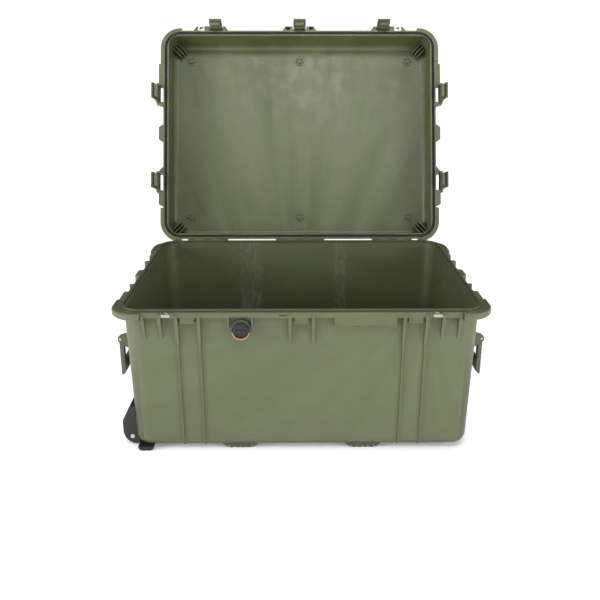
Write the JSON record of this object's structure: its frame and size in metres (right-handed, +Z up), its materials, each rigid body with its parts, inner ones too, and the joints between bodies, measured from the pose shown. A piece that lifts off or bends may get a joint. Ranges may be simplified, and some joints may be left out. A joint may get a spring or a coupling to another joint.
{
  "type": "hard equipment case",
  "caption": "Large wheeled hard case: deep drafted tub, hinged lid open at 110 degrees, two-piece latches, fold-down end handles, wheels and a sliding pull handle.",
  "frame": {"origin": "on the floor under the middle of the tub, at the bottom of the cover's centre rib", "axes": "+X along the case away from the wheels, +Y towards the hinges, +Z up"},
  "size_m": [0.7968, 0.8701, 0.8769],
  "materials": {
    "olive_shell": "moulded, satin",
    "olive_latch": "moulded, satin",
    "olive_handle": "moulded, satin",
    "stainless": "brushed",
    "gasket_rubber": "matte",
    "black_plastic": "fine texture",
    "button_black": "satin",
    "ring_orange": "smooth",
    "tyre_black": "matte",
    "hub_grey": "satin",
    "aluminium_tube": "anodised"
  },
  "bodies": {
    "case": {"base_shell": "olive_shell", "base_lock_plates": "stainless", "hinge_pins": "stainless", "purge_valve_body": "black_plastic", "purge_valve_nut": "black_plastic", "handle_pins": "stainless", "wheel_housing_front": "black_plastic", "wheel_housing_rear": "black_plastic", "wheel_axles": "stainless", "wheel_housing_screws": "stainless", "pull_handle_guides": "aluminium_tube", "pull_handle_cover": "black_plastic", "cover_screws": "stainless"},
    "lid": {"lid_shell": "olive_shell", "lid_gasket": "gasket_rubber", "lid_lock_plates": "stainless", "latch_pivot_pins": "stainless"},
    "valve_knob": {"purge_valve_knob": "black_plastic", "purge_valve_ring": "ring_orange"},
    "handle_left": {"handle_left": "olive_handle"},
    "handle_right": {"handle_right": "olive_handle"},
    "wheel_front": {"tyre_front": "tyre_black", "wheel_hub_front": "hub_grey", "wheel_bearings_front": "stainless"},
    "wheel_rear": {"tyre_rear": "tyre_black", "wheel_hub_rear": "hub_grey", "wheel_bearings_rear": "stainless"},
    "pull_handle": {"pull_handle_tubes": "aluminium_tube", "pull_handle_grip": "black_plastic"},
    "pull_button": {"pull_handle_button": "button_black"},
    "latch_front_left": {"latch_front_left_lever": "olive_latch", "latch_front_left_pin": "stainless"},
    "hook_front_left": {"latch_front_left_hook": "olive_latch"},
    "latch_front_mid": {"latch_front_mid_lever": "olive_latch", "latch_front_mid_pin": "stainless"},
    "hook_front_mid": {"latch_front_mid_hook": "olive_latch"},
    "latch_front_right": {"latch_front_right_lever": "olive_latch", "latch_front_right_pin": "stainless"},
    "hook_front_right": {"latch_front_right_hook": "olive_latch"},
    "latch_right_front": {"latch_right_front_lever": "olive_latch", "latch_right_front_pin": "stainless"},
    "hook_right_front": {"latch_right_front_hook": "olive_latch"},
    "latch_right_rear": {"latch_right_rear_lever": "olive_latch", "latch_right_rear_pin": "stainless"},
    "hook_right_rear": {"latch_right_rear_hook": "olive_latch"},
    "latch_left_front": {"latch_left_front_lever": "olive_latch", "latch_left_front_pin": "stainless"},
    "hook_left_front": {"latch_left_front_hook": "olive_latch"},
    "latch_left_rear": {"latch_left_rear_lever": "olive_latch", "latch_left_rear_pin": "stainless"},
    "hook_left_rear": {"latch_left_rear_hook": "olive_latch"}
  },
  "joints": [
    {"name": "lid_hinge", "type": "hinge", "parent": "case", "child": "lid", "pos_m": [0, 0.2885, 0.314], "axis": [1, 0, 0], "range_deg": [0, 110]},
    {"name": "valve_turn", "type": "hinge", "parent": "case", "child": "valve_knob", "pos_m": [-0.12, -0.2775, 0.279], "axis": [0, -1, 0], "range_deg": [0, 180]},
    {"name": "handle_left_lift", "type": "hinge", "parent": "case", "child": "handle_left", "pos_m": [-0.3932, 0, 0.205], "axis": [0, 1, 0], "range_deg": [0, 95]},
    {"name": "handle_right_lift", "type": "hinge", "parent": "case", "child": "handle_right", "pos_m": [0.3932, 0, 0.205], "axis": [0, -1, 0], "range_deg": [0, 95]},
    {"name": "wheel_front_spin", "type": "hinge", "parent": "case", "child": "wheel_front", "pos_m": [-0.36, -0.2065, 0.0205], "axis": [0, 1, 0], "continuous": true},
    {"name": "wheel_rear_spin", "type": "hinge", "parent": "case", "child": "wheel_rear", "pos_m": [-0.36, 0.2065, 0.0205], "axis": [0, 1, 0], "continuous": true},
    {"name": "pull_handle_slide", "type": "slide", "parent": "case", "child": "pull_handle", "axis": [1, 0, 0], "range_m": [0, 0.38]},
    {"name": "pull_button_press", "type": "slide", "parent": "pull_handle", "child": "pull_button", "axis": [-1, 0, 0], "range_m": [0, 0.0025], "stiffness_N_per_m": 400},
    {"name": "latch_front_left_turn", "type": "hinge", "parent": "lid", "child": "latch_front_left", "pos_m": [-0.2246, 0.50383, 0.84859], "axis": [1, 0, 0], "range_deg": [-66, 3]},
    {"name": "hook_front_left_turn", "type": "hinge", "parent": "latch_front_left", "child": "hook_front_left", "pos_m": [-0.2246, 0.48666, 0.85523], "axis": [1, 0, 0], "range_deg": [-0.6, 13.2]},
    {"name": "latch_front_mid_turn", "type": "hinge", "parent": "lid", "child": "latch_front_mid", "pos_m": [0, 0.50383, 0.84859], "axis": [1, 0, 0], "range_deg": [-66, 3]},
    {"name": "hook_front_mid_turn", "type": "hinge", "parent": "latch_front_mid", "child": "hook_front_mid", "pos_m": [0, 0.48666, 0.85523], "axis": [1, 0, 0], "range_deg": [-0.6, 13.2]},
    {"name": "latch_front_right_turn", "type": "hinge", "parent": "lid", "child": "latch_front_right", "pos_m": [0.2246, 0.50383, 0.84859], "axis": [1, 0, 0], "range_deg": [-66, 3]},
    {"name": "hook_front_right_turn", "type": "hinge", "parent": "latch_front_right", "child": "hook_front_right", "pos_m": [0.2246, 0.48666, 0.85523], "axis": [1, 0, 0], "range_deg": [-0.6, 13.2]},
    {"name": "latch_right_front_turn", "type": "hinge", "parent": "lid", "child": "latch_right_front", "pos_m": [0.38, 0.44346, 0.68274], "axis": [0, -0.342, -0.9397], "range_deg": [-66, 3]},
    {"name": "hook_right_front_turn", "type": "hinge", "parent": "latch_right_front", "child": "hook_right_front", "pos_m": [0.38036, 0.42617, 0.68903], "axis": [0, -0.342, -0.9397], "range_deg": [-0.6, 13.2]},
    {"name": "latch_right_rear_turn", "type": "hinge", "parent": "lid", "child": "latch_right_rear", "pos_m": [0.38, 0.36206, 0.45909], "axis": [0, -0.342, -0.9397], "range_deg": [-66, 3]},
    {"name": "hook_right_rear_turn", "type": "hinge", "parent": "latch_right_rear", "child": "hook_right_rear", "pos_m": [0.38036, 0.34476, 0.46539], "axis": [0, -0.342, -0.9397], "range_deg": [-0.6, 13.2]},
    {"name": "latch_left_front_turn", "type": "hinge", "parent": "lid", "child": "latch_left_front", "pos_m": [-0.38, 0.44346, 0.68274], "axis": [0, 0.342, 0.9397], "range_deg": [-66, 3]},
    {"name": "hook_left_front_turn", "type": "hinge", "parent": "latch_left_front", "child": "hook_left_front", "pos_m": [-0.38036, 0.42617, 0.68903], "axis": [0, 0.342, 0.9397], "range_deg": [-0.6, 13.2]},
    {"name": "latch_left_rear_turn", "type": "hinge", "parent": "lid", "child": "latch_left_rear", "pos_m": [-0.38, 0.36206, 0.45909], "axis": [0, 0.342, 0.9397], "range_deg": [-66, 3]},
    {"name": "hook_left_rear_turn", "type": "hinge", "parent": "latch_left_rear", "child": "hook_left_rear", "pos_m": [-0.38036, 0.34476, 0.46539], "axis": [0, 0.342, 0.9397], "range_deg": [-0.6, 13.2]}
  ],
  "couplings": [
    {"joint": "hook_front_left_turn", "follows": "latch_front_left_turn", "ratio": -0.2},
    {"joint": "hook_front_mid_turn", "follows": "latch_front_mid_turn", "ratio": -0.2},
    {"joint": "hook_front_right_turn", "follows": "latch_front_right_turn", "ratio": -0.2},
    {"joint": "hook_right_front_turn", "follows": "latch_right_front_turn", "ratio": -0.2},
    {"joint": "hook_right_rear_turn", "follows": "latch_right_rear_turn", "ratio": -0.2},
    {"joint": "hook_left_front_turn", "follows": "latch_left_front_turn", "ratio": -0.2},
    {"joint": "hook_left_rear_turn", "follows": "latch_left_rear_turn", "ratio": -0.2}
  ]
}
